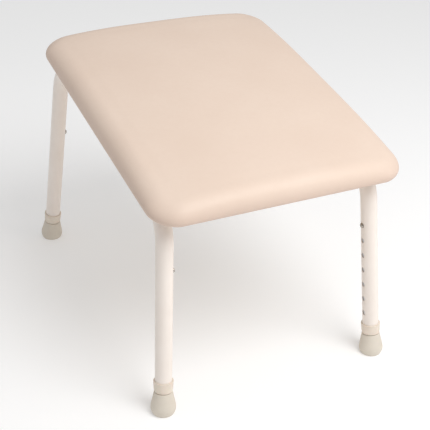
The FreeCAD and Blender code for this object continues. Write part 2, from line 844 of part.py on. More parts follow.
def snap_button(name, place):
    """Round button on a flange, domed at its outer end, turned about the leg's X."""
    body = new_body(name, place)
    sketch = new_sketch(body, "XZ_Plane")
    bind(sketch, "AttachmentOffset.Base.y", D.top_hole)
    radius = D.button_diameter / 2
    flange = D.flange_diameter / 2
    inner = D.flange_outer_face - D.flange_thickness
    tip = TUBE_RADIUS + D.button_stand
    dome = radius / 2
    crown = upright_arc(dome, radius)
    points = [
        (inner, as_size(0)),
        (tip, as_size(0)),
        (tip - dome, radius),
        (D.flange_outer_face, radius),
        (D.flange_outer_face, flange),
        (inner, flange),
    ]
    outline(sketch, points, {1: (crown, 1)})
    revolve(body, sketch, "H_Axis")
    return body


def button_spring(name, place):
    """Strip folded into a narrow V: one arm carries the button, the other bears on the leg's wall."""
    body = new_body(name, place)
    path = new_sketch(body, "XZ_Plane")
    half = D.spring_strip / 2
    front = D.flange_outer_face - D.flange_thickness - half
    back = -(D.spring_rear_face - half)
    fold = D.top_hole - D.spring_drop
    above = D.flange_diameter / 2
    points = [
        (front, D.top_hole + above),
        (front, D.top_hole - above),
        (as_size(0), fold),
        (back, D.top_hole - above),
        (back, D.top_hole + above),
    ]
    bent_line(path, points, D.spring_fold)
    DOC.recompute()
    section = new_sketch(body, "XY_Plane", lift=D.top_hole + above)
    outline(
        section,
        [
            (front - half, -D.spring_width / 2),
            (front + half, -D.spring_width / 2),
            (front + half, D.spring_width / 2),
            (front - half, D.spring_width / 2),
        ],
    )
    sweep(body, section, path)
    return body


LEG_PIECES = {
    "collar": collar,
    "inner_leg": inner_leg,
    "ferrule": ferrule,
    "ferrule_washer": ferrule_washer,
    "glide_plug": glide_plug,
    "snap_button": snap_button,
    "button_spring": button_spring,
}


def build():
    """Every sub-part by the name of its node."""
    parts = {
        "seat_cover": seat_cover(),
        "seat_foam": seat_foam(),
        "seat_board": seat_board(),
        "seat_staples": seat_staples(),
        "seat_tee_nuts": group("seat_tee_nuts", [tee_nut(*spot) for spot in fixing_points()]),
        "seat_bolts": group("seat_bolts", [seat_bolt(*spot) for spot in fixing_points()]),
        "saddle_washers": group("saddle_washers", [saddle_washer(*spot) for spot in fixing_points()]),
        "front_cross_rail": cross_rail("front_cross_rail", D.rail_front),
        "rear_cross_rail": cross_rail("rear_cross_rail", D.rail_rear),
    }
    for side_name, side in SIDES.items():
        name = f"{side_name}_side_frame"
        parts[name] = side_frame(name, side)
    for corner, side, end in CORNERS:
        place = leg_place(side, end)
        for piece, make in LEG_PIECES.items():
            name = f"{corner}_{piece}"
            parts[name] = make(name, place)
    return parts


def export(parts):
    """Check the document and write one STEP file for each sub-part."""
    DOC.recompute()
    for thing in DOC.Objects:
        if {"Invalid", "Error"} & set(thing.State):
            raise RuntimeError(f"{thing.Name} is in state {thing.State}")
    for name, part in parts.items():
        part.Label = name
        if part.Shape.isNull() or not part.Shape.isValid():
            raise RuntimeError(f"{name} has no valid shape")
    os.makedirs("parts", exist_ok=True)
    for name, part in parts.items():
        part.Shape.exportStep(f"parts/{name}.step")
        solids = len(part.Shape.Solids)
        print(f"{name}: {solids} solid(s), {part.Shape.Volume / 1000:.2f} cm3")


export(build())
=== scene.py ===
import json
import math
import random

import bmesh
import bpy
from mathutils import Matrix, Vector


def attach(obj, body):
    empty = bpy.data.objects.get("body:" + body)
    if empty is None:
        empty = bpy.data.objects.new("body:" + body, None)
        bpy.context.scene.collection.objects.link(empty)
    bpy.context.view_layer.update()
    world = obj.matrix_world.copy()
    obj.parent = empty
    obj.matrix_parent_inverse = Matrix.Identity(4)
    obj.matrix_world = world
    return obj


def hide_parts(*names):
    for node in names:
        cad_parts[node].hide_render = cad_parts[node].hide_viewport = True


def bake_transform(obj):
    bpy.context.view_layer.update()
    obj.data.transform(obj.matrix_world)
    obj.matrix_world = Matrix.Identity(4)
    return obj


# Looks of the shower stool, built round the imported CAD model. Metres, +Z up, in the CAD's own frame:
# the origin is on the floor in the middle of the feet, and +Y runs from the seat's low front edge to
# its high rear edge.

MM = 0.001

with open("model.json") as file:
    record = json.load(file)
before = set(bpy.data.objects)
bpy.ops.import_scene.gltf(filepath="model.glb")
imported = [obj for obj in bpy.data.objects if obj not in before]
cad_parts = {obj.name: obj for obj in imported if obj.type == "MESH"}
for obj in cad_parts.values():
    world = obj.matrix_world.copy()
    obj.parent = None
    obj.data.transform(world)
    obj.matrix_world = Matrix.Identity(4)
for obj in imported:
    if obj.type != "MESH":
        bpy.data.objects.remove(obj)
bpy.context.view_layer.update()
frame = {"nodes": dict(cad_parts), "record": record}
scene = bpy.context.scene

# Driving sizes, in metres and radians. The seat's own frame has its origin in the middle of the pad's
# underside, its Y up the slope and its Z square to the pad.

SEAT_SLOPE = math.radians(8.3)
SEAT_MIDDLE = Vector((0.0, -28.4, 352.0)) * MM
SEAT_WIDTH = 398 * MM
SEAT_LENGTH = 503 * MM
SEAT_CORNER = 44 * MM
SEAT_PLACE = Matrix.Translation(SEAT_MIDDLE) @ Matrix.Rotation(SEAT_SLOPE, 4, "X")

# Each leg stands on its foot and leans towards the stool's middle.
FOOT_HALF_WIDTH = 181.4 * MM
FOOT_HALF_LENGTH = 265.3 * MM
SIDE_SPLAY = math.radians(3.24)
END_SPLAY = math.radians(7.78)
SIDES = {"left": -1, "right": 1}
ENDS = {"front": -1, "rear": 1}


# Camera: it looks down on the stool from its front left. The lens and the sensor are in millimetres.

CAMERA_SPOT = Vector((-637.1, -1310.5, 1015.1)) * MM
CAMERA_HEADING = math.radians(-26.81)
CAMERA_PITCH = math.radians(-30.72)
CAMERA_ROLL = math.radians(2.27)
CAMERA_LENS = 85.19
CAMERA_SENSOR = 36.0


def make_camera():
    ahead = Vector(
        (
            -math.sin(CAMERA_HEADING) * math.cos(CAMERA_PITCH),
            math.cos(CAMERA_HEADING) * math.cos(CAMERA_PITCH),
            math.sin(CAMERA_PITCH),
        )
    )
    level_right = ahead.cross(Vector((0, 0, 1))).normalized()
    level_up = level_right.cross(ahead)
    right = level_right * math.cos(CAMERA_ROLL) + level_up * math.sin(CAMERA_ROLL)
    up = level_up * math.cos(CAMERA_ROLL) - level_right * math.sin(CAMERA_ROLL)
    data = bpy.data.cameras.new("camera")
    data.lens = CAMERA_LENS
    data.sensor_width = CAMERA_SENSOR
    camera = bpy.data.objects.new("camera", data)
    scene.collection.objects.link(camera)
    turned = Matrix((right, up, -ahead)).transposed().to_4x4()
    camera.matrix_world = Matrix.Translation(CAMERA_SPOT) @ turned
    scene.camera = camera


make_camera()


# Material helpers. Noise and cell sizes are given in features per metre, bump distances in metres.


class Nodes:
    """Short calls for building one material's node tree."""

    def __init__(self, name):
        self.material = bpy.data.materials.new(name)
        self.material.use_nodes = True
        self.tree = self.material.node_tree
        self.tree.nodes.clear()
        self.output = self.add("ShaderNodeOutputMaterial")
        self.shader = self.add("ShaderNodeBsdfPrincipled")
        self.link(self.shader.outputs["BSDF"], self.output.inputs["Surface"])
        self.place = self.add("ShaderNodeTexCoord").outputs["Object"]

    def add(self, kind, **settings):
        node = self.tree.nodes.new(kind)
        for key, value in settings.items():
            setattr(node, key, value)
        return node

    def link(self, source, target):
        self.tree.links.new(source, target)

    def set(self, **values):
        for key, value in values.items():
            self.shader.inputs[key.replace("_", " ")].default_value = value

    def stretched(self, scale):
        """Object coordinates scaled along each axis."""
        node = self.add("ShaderNodeMapping")
        node.inputs["Scale"].default_value = scale
        self.link(self.place, node.inputs["Vector"])
        return node.outputs["Vector"]

    def noise(self, per_metre, detail=3.0, rough=0.5, place=None):
        node = self.add("ShaderNodeTexNoise")
        node.inputs["Scale"].default_value = per_metre
        node.inputs["Detail"].default_value = detail
        node.inputs["Roughness"].default_value = rough
        self.link(place or self.place, node.inputs["Vector"])
        return node.outputs["Fac"]

    def cells(self, per_metre, feature="F1"):
        node = self.add("ShaderNodeTexVoronoi", feature=feature)
        node.inputs["Scale"].default_value = per_metre
        self.link(self.place, node.inputs["Vector"])
        return node.outputs["Distance"]

    def ramp(self, source, *stops):
        """A ramp through (position, value or colour) stops."""
        node = self.add("ShaderNodeValToRGB")
        ramp = node.color_ramp
        while len(ramp.elements) < len(stops):
            ramp.elements.new(0.5)
        for element, (position, value) in zip(ramp.elements, stops):
            element.position = position
            colour = (value, value, value) if isinstance(value, (int, float)) else value
            element.color = (*colour, 1.0)
        self.link(source, node.inputs["Fac"])
        return node.outputs["Color"]

    def math(self, operation, first, second):
        node = self.add("ShaderNodeMath", operation=operation)
        for socket, value in zip(node.inputs, (first, second)):
            if isinstance(value, (int, float)):
                socket.default_value = value
            else:
                self.link(value, socket)
        return node.outputs["Value"]

    def seat_level(self, top):
        """Height above the pad's underside, square to the pad, as a share of a top height."""
        square = Vector((0.0, -math.sin(SEAT_SLOPE), math.cos(SEAT_SLOPE)))
        level = self.add("ShaderNodeVectorMath", operation="DOT_PRODUCT")
        level.inputs[1].default_value = square
        self.link(self.place, level.inputs[0])
        height = self.math("SUBTRACT", level.outputs["Value"], square.dot(SEAT_MIDDLE))
        return self.math("DIVIDE", height, top)

    def floor_level(self, top):
        """Height above the floor, as a share of a top height."""
        split = self.add("ShaderNodeSeparateXYZ")
        self.link(self.place, split.inputs["Vector"])
        return self.math("DIVIDE", split.outputs["Z"], top)

    def blend(self, factor, first, second):
        """Mix of two colours: the first is a socket, the second a socket or a colour."""
        node = self.add("ShaderNodeMix", data_type="RGBA")
        self.link(factor, node.inputs["Factor"])
        for socket, value in ((node.inputs[6], first), (node.inputs[7], second)):
            if isinstance(value, tuple):
                socket.default_value = (*value, 1.0)
            else:
                self.link(value, socket)
        return node.outputs[2]

    def bump(self, height, distance, strength=1.0, under=None):
        node = self.add("ShaderNodeBump")
        node.inputs["Strength"].default_value = strength
        node.inputs["Distance"].default_value = distance
        self.link(height, node.inputs["Height"])
        if under is not None:
            self.link(under, node.inputs["Normal"])
        return node.outputs["Normal"]

    def finish(self, colour=None, roughness=None, normal=None):
        for key, source in (("Base Color", colour), ("Roughness", roughness), ("Normal", normal)):
            if source is not None:
                self.link(source, self.shader.inputs[key])
        return self.material


# Materials, one for each slot of the record. The vinyl's painted shade low round the pad's edges is
# measured against the pad's top height, and the grime on the ferrules against a height above the
# floor.

PAD_TOP = 40 * MM
GRIME_TOP = 10 * MM
ROUGHNESS_SPREAD = 0.12


def vinyl_material():
    """Beige upholstery vinyl: satin, fine pebble grain, slightly mottled, with painted shade low round
    its edges.
    """
    n = Nodes("vinyl")
    n.set(Specular_IOR_Level=0.24, Coat_Weight=0.03, Coat_Roughness=0.35)
    broad = n.noise(9.0, detail=2.0)
    mottle = n.noise(140.0, detail=4.0, rough=0.6)
    colour = n.ramp(broad, (0.25, (0.775, 0.620, 0.515)), (0.75, (0.805, 0.655, 0.550)))
    colour = n.blend(n.ramp(mottle, (0.35, 0.0), (0.85, 0.25)), colour, (0.74, 0.58, 0.47))
    # Painted shade: the vinyl turns darker towards the pad's underside round its edges, standing in
    # for the shade there.
    painted_side_shade = n.ramp(n.seat_level(PAD_TOP), (0.18, 0.85), (0.66, 0.0))
    colour = n.blend(painted_side_shade, colour, (0.675, 0.520, 0.430))
    pebbles = n.cells(820.0, feature="SMOOTH_F1")
    fine = n.noise(2600.0, detail=2.0)
    grain = n.math("ADD", pebbles, n.math("MULTIPLY", fine, 0.35))
    slack = n.bump(n.noise(26.0, detail=2.0), 1.6 * MM, strength=0.35)
    normal = n.bump(grain, 0.13 * MM, strength=0.55, under=slack)
    roughness = n.ramp(mottle, (0.3, 0.40), (0.8, 0.52))
    return n.finish(colour, roughness, normal)


def paint_material():
    """Ivory powder coat: orange-peel surface, slight gloss."""
    n = Nodes("frame_paint")
    n.set(Specular_IOR_Level=0.5, Coat_Weight=0.15, Coat_Roughness=0.18)
    tone = n.noise(30.0)
    colour = n.ramp(tone, (0.3, (0.87, 0.785, 0.715)), (0.8, (0.90, 0.82, 0.755)))
    specks = n.ramp(n.noise(900.0, detail=2.0), (0.72, 0.0), (0.80, 0.35))
    colour = n.blend(specks, colour, (0.66, 0.60, 0.52))
    peel = n.noise(620.0, detail=2.0)
    roughness = n.ramp(peel, (0.3, 0.30), (0.75, 0.42))
    return n.finish(colour, roughness, n.bump(peel, 0.08 * MM, strength=0.5))


def collar_material():
    """Peach-beige moulded plastic with a fine spark-eroded texture."""
    n = Nodes("collar_plastic")
    n.set(Specular_IOR_Level=0.45, Subsurface_Weight=0.05, Subsurface_Scale=0.002)
    tone = n.noise(60.0)
    colour = n.ramp(tone, (0.3, (0.76, 0.665, 0.560)), (0.8, (0.80, 0.710, 0.610)))
    texture = n.noise(1800.0, detail=2.0)
    roughness = n.ramp(tone, (0.3, 0.42), (0.8, 0.52))
    return n.finish(colour, roughness, n.bump(texture, 0.05 * MM, strength=0.6))


def ferrule_material():
    """Warm grey rubber, dull, with bloom and a trace of grime at the floor."""
    n = Nodes("ferrule_rubber")
    n.set(Specular_IOR_Level=0.32)
    tone = n.noise(45.0, detail=4.0, rough=0.6)
    colour = n.ramp(tone, (0.3, (0.69, 0.625, 0.535)), (0.8, (0.74, 0.68, 0.59)))
    near_floor = n.ramp(n.floor_level(GRIME_TOP), (0.0, 0.45), (0.45, 0.0))
    patches = n.ramp(n.noise(160.0, detail=4.0, rough=0.65), (0.35, 0.2), (0.7, 1.0))
    colour = n.blend(n.math("MULTIPLY", near_floor, patches), colour, (0.36, 0.33, 0.28))
    texture = n.noise(1100.0)
    roughness = n.ramp(tone, (0.3, 0.62), (0.8, 0.78))
    return n.finish(colour, roughness, n.bump(texture, 0.09 * MM, strength=0.5))


def metal_material(name, dark, light, rough_low, rough_high, stretch=(1.0, 1.0, 1.0)):
    """Bare or plated metal with fine scratches, which a stretch under 1 draws out along its axis."""
    n = Nodes(name)
    n.set(Metallic=1.0)
    scratches = n.noise(900.0, rough=0.6, place=n.stretched(stretch))
    colour = n.ramp(scratches, (0.3, dark), (0.75, light))
    roughness = n.ramp(scratches, (0.3, rough_low), (0.75, rough_high))
    return n.finish(colour, roughness, n.bump(scratches, 0.02 * MM, strength=0.4))


def plywood_material():
    """Birch plywood: long grain, pale and dark streaks, a few pores."""
    n = Nodes("plywood")
    n.set(Specular_IOR_Level=0.3)
    grain = n.noise(22.0, detail=5.0, rough=0.6, place=n.stretched((5.0, 0.22, 5.0)))
    dark, middling, pale = (0.50, 0.35, 0.21), (0.62, 0.46, 0.29), (0.70, 0.54, 0.37)
    colour = n.ramp(grain, (0.30, dark), (0.50, middling), (0.70, pale))
    pores = n.noise(260.0, detail=2.0, place=n.stretched((6.0, 0.12, 6.0)))
    colour = n.blend(n.ramp(pores, (0.58, 0.0), (0.72, 0.5)), colour, (0.36, 0.24, 0.14))
    roughness = n.ramp(grain, (0.3, 0.75), (0.8, 0.6))
    return n.finish(colour, roughness, n.bump(pores, 0.15 * MM, strength=0.6))


def foam_material():
    """Open-cell seat foam."""
    n = Nodes("foam")
    n.set(Specular_IOR_Level=0.1, Subsurface_Weight=0.1, Subsurface_Scale=0.004)
    cells = n.cells(950.0)
    colour = n.ramp(cells, (0.0, (0.60, 0.52, 0.33)), (0.6, (0.80, 0.74, 0.55)))
    return n.finish(colour, normal=n.bump(cells, 0.4 * MM, strength=0.8))


def plain_plastic(name, dark, light, rough):
    """Moulded nylon or polythene with a fine texture."""
    n = Nodes(name)
    n.set(Specular_IOR_Level=0.4)
    tone = n.noise(90.0)
    colour = n.ramp(tone, (0.3, dark), (0.8, light))
    texture = n.noise(1500.0, detail=2.0)
    roughness = n.ramp(tone, (0.3, rough), (0.8, rough + ROUGHNESS_SPREAD))
    return n.finish(colour, roughness, n.bump(texture, 0.05 * MM, strength=0.5))


# Dark and light colour, lowest and highest roughness, and stretch if the scratches run one way.
METALS = {
    "leg_steel": ((0.56, 0.56, 0.57), (0.72, 0.72, 0.73), 0.24, 0.36, (1.0, 1.0, 0.05)),
    # The button metal's colours are darkened below bare plated steel: painted reflection, standing in
    # for dark surroundings mirrored in its dome.
    "button_metal": ((0.34, 0.31, 0.27), (0.50, 0.46, 0.41), 0.10, 0.20),
    "spring_steel": ((0.36, 0.38, 0.42), (0.50, 0.52, 0.56), 0.25, 0.40),
    "zinc_steel": ((0.60, 0.60, 0.58), (0.76, 0.76, 0.74), 0.28, 0.42),
}

# Dark and light colour, and lowest roughness.
PLASTICS = {
    "plug_plastic": ((0.03, 0.03, 0.032), (0.05, 0.05, 0.052), 0.45),
    "washer_plastic": ((0.74, 0.73, 0.69), (0.82, 0.81, 0.78), 0.40),
}

MATERIALS = {
    "vinyl": vinyl_material(),
    "foam": foam_material(),
    "plywood": plywood_material(),
    "frame_paint": paint_material(),
    "collar_plastic": collar_material(),
    "ferrule_rubber": ferrule_material(),
}
MATERIALS.update({slot: metal_material(slot, *look) for slot, look in METALS.items()})
MATERIALS.update({slot: plain_plastic(slot, *look) for slot, look in PLASTICS.items()})


def dress_cad_nodes():
    """Every carried-over CAD node gets its slot's own material."""
    for entry in frame["record"]["subparts"]:
        mesh = frame["nodes"][entry["node"]].data
        mesh.materials.clear()
        mesh.materials.append(MATERIALS[entry["material_slot"]])


dress_cad_nodes()


# Seat cover: a pillow of foam under vinyl, made in the seat's own frame. A grid covers the top, rings
# of points go round the roll at its edge and under it, and a hem lies flat on the board's underside.

GRID_STEP = 8 * MM
CORNER_STEPS = 6

# The roll's section is a superellipse of this power, from the grid's edge down to the lower roll.
ROLL_WIDTH = 28 * MM
ROLL_POWER = 2.18
ROLL_STEPS = 14
LOWER_ROLL = 7.0 * MM
LOWER_STEPS = 5
HEM_WIDTH = 28 * MM
HEM_STEPS = 7

# Before it swells, the pad is this thick at the middles of its edges and at its corners, and the
# crown stands higher still in the middle. A higher power keeps the thinning nearer to the corners.
EDGE_THICKNESS = 34.6 * MM
CORNER_THICKNESS = 17.4 * MM
CORNER_POWER = 3.6
CROWN = 2.9 * MM
START_INSET = 0.4 * MM
COVER_SKIN = 1.1 * MM

# Swelling: points are held at and below the lower roll, and let go over the fade above it.
HOLD_FADE = 8 * MM
CLOTH_FRAMES = 20
CLOTH_PRESSURE = 4.0
MOST_SWELL = 5 * MM
CALMING_ROUNDS = 40

PLEATS = 3
PLEAT_DEPTH = 1.4 * MM
PLEAT_LENGTH = 16.5 * MM


def stations(half, corner):
    """Grid positions from -half to half, closer together where the corners are."""
    straight = half - corner
    count = 2 * math.ceil(straight / GRID_STEP)
    middle = [straight * (2 * number / count - 1) for number in range(count + 1)]
    bend = [straight + corner * (number + 1) / CORNER_STEPS for number in range(CORNER_STEPS)]
    return [-value for value in reversed(bend)] + middle + bend


def plan_point(x, y, half_x, half_y, corner):
    """A point of a rectangular grid moved onto a rectangle with round corners."""
    over_x = (abs(x) - (half_x - corner)) / corner
    over_y = (abs(y) - (half_y - corner)) / corner
    if over_x > 0 and over_y > 0:
        reach_x = over_x * math.sqrt(1 - over_y * over_y / 2)
        reach_y = over_y * math.sqrt(1 - over_x * over_x / 2)
        x = math.copysign(half_x - corner + reach_x * corner, x)
        y = math.copysign(half_y - corner + reach_y * corner, y)
    return Vector((x, y))


def outward(point, half_x, half_y, corner):
    """Direction square to the rounded rectangle's edge, away from its middle."""
    straight_x = half_x - corner
    straight_y = half_y - corner
    inner_x = max(-straight_x, min(straight_x, point.x))
    inner_y = max(-straight_y, min(straight_y, point.y))
    return (point - Vector((inner_x, inner_y))).normalized()


def pad_top(spot):
    """Height of the pad's top: full along the middles of its edges, pulled down at its corners."""
    across = min(1.0, abs(spot.x) / (SEAT_WIDTH / 2))
    along = min(1.0, abs(spot.y) / (SEAT_LENGTH / 2))
    rise = 1 - (across * along) ** CORNER_POWER
    crown = CROWN * (1 - across**2) * (1 - along**2)
    return CORNER_THICKNESS + (EDGE_THICKNESS - CORNER_THICKNESS) * rise + crown


def pad_rings(base, away):
    """Points from the top's edge round the pad's side and under it, for one place on the rim."""
    points = []
    rim = base + away * ROLL_WIDTH
    for number in range(1, ROLL_STEPS + 1):
        angle = math.pi / 2 * (1 - number / ROLL_STEPS)
        inset = ROLL_WIDTH * (1 - math.cos(angle) ** (2 / ROLL_POWER))
        spot = rim - away * inset
        lift = math.sin(angle) ** (2 / ROLL_POWER)
        points.append((spot, LOWER_ROLL + (pad_top(spot) - LOWER_ROLL) * lift))
    for number in range(1, LOWER_STEPS + 1):
        angle = math.pi / 2 * number / LOWER_STEPS
        spot = rim - away * LOWER_ROLL * (1 - math.cos(angle))
        points.append((spot, LOWER_ROLL * (1 - math.sin(angle))))
    for number in range(1, HEM_STEPS + 1):
        inset = LOWER_ROLL + (HEM_WIDTH - LOWER_ROLL) * number / HEM_STEPS
        points.append((rim - away * inset, 0.0))
    return points


def rim_places(last_x, last_y):
    """Places in the grid along its edge, once round."""
    rim = [(i, 0) for i in range(last_x)]
    rim += [(last_x, j) for j in range(last_y)]
    rim += [(i, last_y) for i in range(last_x, 0, -1)]
    rim += [(0, j) for j in range(last_y, 0, -1)]
    return rim


def pad_mesh(name):
    """The closed pad, with the number of faces before those that close its underside."""
    half_x = SEAT_WIDTH / 2 - START_INSET - ROLL_WIDTH
    half_y = SEAT_LENGTH / 2 - START_INSET - ROLL_WIDTH
    corner = SEAT_CORNER - START_INSET - ROLL_WIDTH
    xs = stations(half_x, corner)
    ys = stations(half_y, corner)
    last_x = len(xs) - 1
    last_y = len(ys) - 1
    plan = [[plan_point(x, y, half_x, half_y, corner) for y in ys] for x in xs]
    bm = bmesh.new()
    top = [[bm.verts.new((spot.x, spot.y, pad_top(spot))) for spot in row] for row in plan]
    for i in range(last_x):
        for j in range(last_y):
            bm.faces.new((top[i][j], top[i + 1][j], top[i + 1][j + 1], top[i][j + 1]))
    rim = rim_places(last_x, last_y)
    columns = []
    for i, j in rim:
        base = plan[i][j]
        column = [top[i][j]]
        for spot, height in pad_rings(base, outward(base, half_x, half_y, corner)):
            column.append(bm.verts.new((spot.x, spot.y, height)))
        columns.append(column)
    for number, column in enumerate(columns):
        following = columns[(number + 1) % len(columns)]
        for level in range(len(column) - 1):
            lower = level + 1
            bm.faces.new((column[level], column[lower], following[lower], following[level]))
    kept = len(bm.faces)
    under = {place: column[-1] for place, column in zip(rim, columns)}
    shrink = (half_x + ROLL_WIDTH - HEM_WIDTH) / half_x
    for i in range(1, last_x):
        for j in range(1, last_y):
            spot = plan[i][j] * shrink
            under[i, j] = bm.verts.new((spot.x, spot.y, 0.0))
    for i in range(last_x):
        for j in range(last_y):
            bm.faces.new((under[i, j], under[i, j + 1], under[i + 1, j + 1], under[i + 1, j]))
    mesh = bpy.data.meshes.new(name)
    bm.to_mesh(mesh)
    bm.free()
    return mesh, kept


def calmed(mesh, moves):
    """Moves averaged with their neighbours', which takes creases out and leaves the swelling."""
    neighbours = [[] for _ in moves]
    for edge in mesh.edges:
        first, second = edge.vertices
        neighbours[first].append(second)
        neighbours[second].append(first)
    for _ in range(CALMING_ROUNDS):
        means = []
        for others in neighbours:
            means.append(sum((moves[other] for other in others), Vector()) / len(others))
        moves = [move.lerp(mean, 0.5) for move, mean in zip(moves, means)]
    return moves


def swell(piece):
    """Cloth under pressure rounds the pad out by no more than MOST_SWELL, with its underside held."""
    start = [vertex.co.copy() for vertex in piece.data.vertices]
    held = piece.vertex_groups.new(name="held")
    for vertex in piece.data.vertices:
        freedom = (vertex.co.z - LOWER_ROLL) / HOLD_FADE
        held.add([vertex.index], max(0.0, min(1.0, 1.0 - freedom)), "REPLACE")
    cloth = piece.modifiers.new("cloth", "CLOTH")
    settings = cloth.settings
    settings.quality = 6
    settings.mass = 0.35
    settings.tension_stiffness = 22.0
    settings.compression_stiffness = 22.0
    settings.shear_stiffness = 12.0
    settings.bending_stiffness = 1.5
    settings.use_pressure = True
    settings.uniform_pressure_force = CLOTH_PRESSURE
    settings.vertex_group_mass = "held"
    settings.effector_weights.gravity = 0.0
    cloth.collision_settings.use_self_collision = False
    cloth.collision_settings.use_collision = False
    scene.frame_start = 1
    scene.frame_end = CLOTH_FRAMES
    for number in range(1, CLOTH_FRAMES + 1):
        scene.frame_set(number)
    graph = bpy.context.evaluated_depsgraph_get()
    moved = [vertex.co.copy() for vertex in piece.evaluated_get(graph).data.vertices]
    piece.modifiers.remove(cloth)
    scene.frame_set(1)
    moves = calmed(piece.data, [after - before for before, after in zip(start, moved)])
    longest = max(move.length for move in moves)
    share = min(1.0, MOST_SWELL / longest)
    for vertex, before, move in zip(piece.data.vertices, start, moves):
        vertex.co = before + move * share


def gather(piece):
    """Pleats where the cover is turned under round the pad's corners, out as far as the staples."""
    straight = Vector((SEAT_WIDTH / 2 - SEAT_CORNER, SEAT_LENGTH / 2 - SEAT_CORNER))
    for vertex in piece.data.vertices:
        spot = vertex.co
        over = Vector((abs(spot.x) - straight.x, abs(spot.y) - straight.y))
        if spot.z > LOWER_ROLL or over.x <= 0 or over.y <= 0:
            continue
        inset = (SEAT_CORNER - over.length) / PLEAT_LENGTH
        if inset > 1.0:
            continue
        turn = math.atan2(over.y, over.x) / (math.pi / 2)
        fold = math.sin(turn * PLEATS * math.pi) ** 2
        spot.z -= PLEAT_DEPTH * fold * math.sin(math.pi * max(0.0, inset))


def smooth_shade(mesh):
    mesh.polygons.foreach_set("use_smooth", [True] * len(mesh.polygons))


def add_modifier(piece, kind, **settings):
    modifier = piece.modifiers.new(kind.lower(), kind)
    for key, value in settings.items():
        setattr(modifier, key, value)
    return modifier


def open_underside(mesh, kept):
    """Take away the faces that closed the underside inside the hem."""
    bm = bmesh.new()
    bm.from_mesh(mesh)
    bm.faces.ensure_lookup_table()
    bmesh.ops.delete(bm, geom=bm.faces[kept:], context="FACES")
    bm.to_mesh(mesh)
    bm.free()


def seat_cover():
    """The vinyl over the pad: swollen by cloth, open under the board, and given its thickness."""
    mesh, kept = pad_mesh("seat_cover_vinyl")
    piece = bpy.data.objects.new("seat_cover_vinyl", mesh)
    scene.collection.objects.link(piece)
    swell(piece)
    open_underside(mesh, kept)
    gather(piece)
    mesh.transform(SEAT_PLACE)
    smooth_shade(mesh)
    add_modifier(piece, "SOLIDIFY", thickness=COVER_SKIN, offset=-1.0)
    add_modifier(piece, "SUBSURF", levels=1, render_levels=1)
    mesh.materials.append(MATERIALS["vinyl"])
    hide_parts("seat_cover", "seat_foam")
    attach(piece, "frame")


seat_cover()


# Meshes swept along a line.


def swept(bm, sections, closed):
    """Faces between sections of the same number of points, joined in a ring or capped at the ends."""
    rows = [[bm.verts.new(point) for point in section] for section in sections]
    pairs = list(zip(rows, rows[1:]))
    if closed:
        pairs.append((rows[-1], rows[0]))
    else:
        bm.faces.new(list(reversed(rows[0])))
        bm.faces.new(rows[-1])
    for row, following in pairs:
        for number, vertex in enumerate(row):
            beside = (number + 1) % len(row)
            bm.faces.new((vertex, row[beside], following[beside], following[number]))


def piece_from(bm, name, slot):
    """A smooth-shaded object of the mesh, in one material slot's finish."""
    bmesh.ops.recalc_face_normals(bm, faces=bm.faces)
    mesh = bpy.data.meshes.new(name)
    bm.to_mesh(mesh)
    bm.free()
    smooth_shade(mesh)
    mesh.materials.append(MATERIALS[slot])
    piece = bpy.data.objects.new(name, mesh)
    scene.collection.objects.link(piece)
    return piece


# Welds: a rippled bead where each cross rail meets a side frame's round side. Levels and the rails'
# places are in the seat's own frame, to the middle lines of the tubes.

TUBE_RADIUS = 12.7 * MM
RUN_LEVEL = -11.6 * MM
RAIL_RADIUS = 9.5 * MM
RAIL_PLACES = (-95 * MM, 135 * MM)
BEAD_RADIUS = 1.5 * MM
BEAD_LIFT = 0.5 * MM
BEAD_RIPPLES = 28
BEAD_RIPPLE_DEPTH = 0.16
BEAD_UNEVENNESS = (0.92, 1.06)
BEAD_STEPS = 8
BEAD_SIDES = 10
BEAD_SEED = 11

# A bead's direction is taken between points this far round to each side, in radians.
BEAD_AIM_STEP = 0.01


def run_spread(along):
    """Half the distance between the middle lines of the side frames' top runs."""
    height = SEAT_MIDDLE.z + along * math.sin(SEAT_SLOPE) + RUN_LEVEL * math.cos(SEAT_SLOPE)
    return FOOT_HALF_WIDTH - height * math.tan(SIDE_SPLAY)


def weld_point(side, rail, angle):
    """A place on the line where a rail's outside meets the tube, lifted a little off both."""
    radius = RAIL_RADIUS + BEAD_LIFT
    along = rail + radius * math.cos(angle)
    level = radius * math.sin(angle)
    inset = math.sqrt((TUBE_RADIUS + BEAD_LIFT) ** 2 - level**2)
    return Vector((side * (run_spread(along) - inset), along, RUN_LEVEL + level))


def weld_sections(side, rail, dice):
    """Sections of one bead: each ripple has its own size, and is thickest in its middle."""
    count = BEAD_RIPPLES * BEAD_STEPS
    sections = []
    for number in range(count):
        step = number % BEAD_STEPS
        if step == 0:
            size = BEAD_RADIUS * dice.uniform(*BEAD_UNEVENNESS)
        angle = 2 * math.pi * number / count
        spot = weld_point(side, rail, angle)
        ahead = weld_point(side, rail, angle + BEAD_AIM_STEP)
        ahead -= weld_point(side, rail, angle - BEAD_AIM_STEP)
        away = Vector((0, math.cos(angle), math.sin(angle)))
        beside = ahead.cross(away).normalized()
        away = beside.cross(ahead).normalized()
        off_middle = 2 * step / (BEAD_STEPS - 1) - 1
        radius = size * (1 - BEAD_RIPPLE_DEPTH * off_middle**2)
        section = []
        for corner in range(BEAD_SIDES):
            turn = 2 * math.pi * corner / BEAD_SIDES
            section.append(spot + (away * math.cos(turn) + beside * math.sin(turn)) * radius)
        sections.append(section)
    return sections


def weld_beads():
    dice = random.Random(BEAD_SEED)
    bm = bmesh.new()
    for side in SIDES.values():
        for rail in RAIL_PLACES:
            swept(bm, weld_sections(side, rail, dice), closed=True)
    bm.transform(SEAT_PLACE)
    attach(piece_from(bm, "weld_beads", "frame_paint"), "frame")


weld_beads()


# Button springs: a strip folded into a V, one arm on the leg's wall and the other under the button.
# Places are in the leg's frame that leg_place gives.

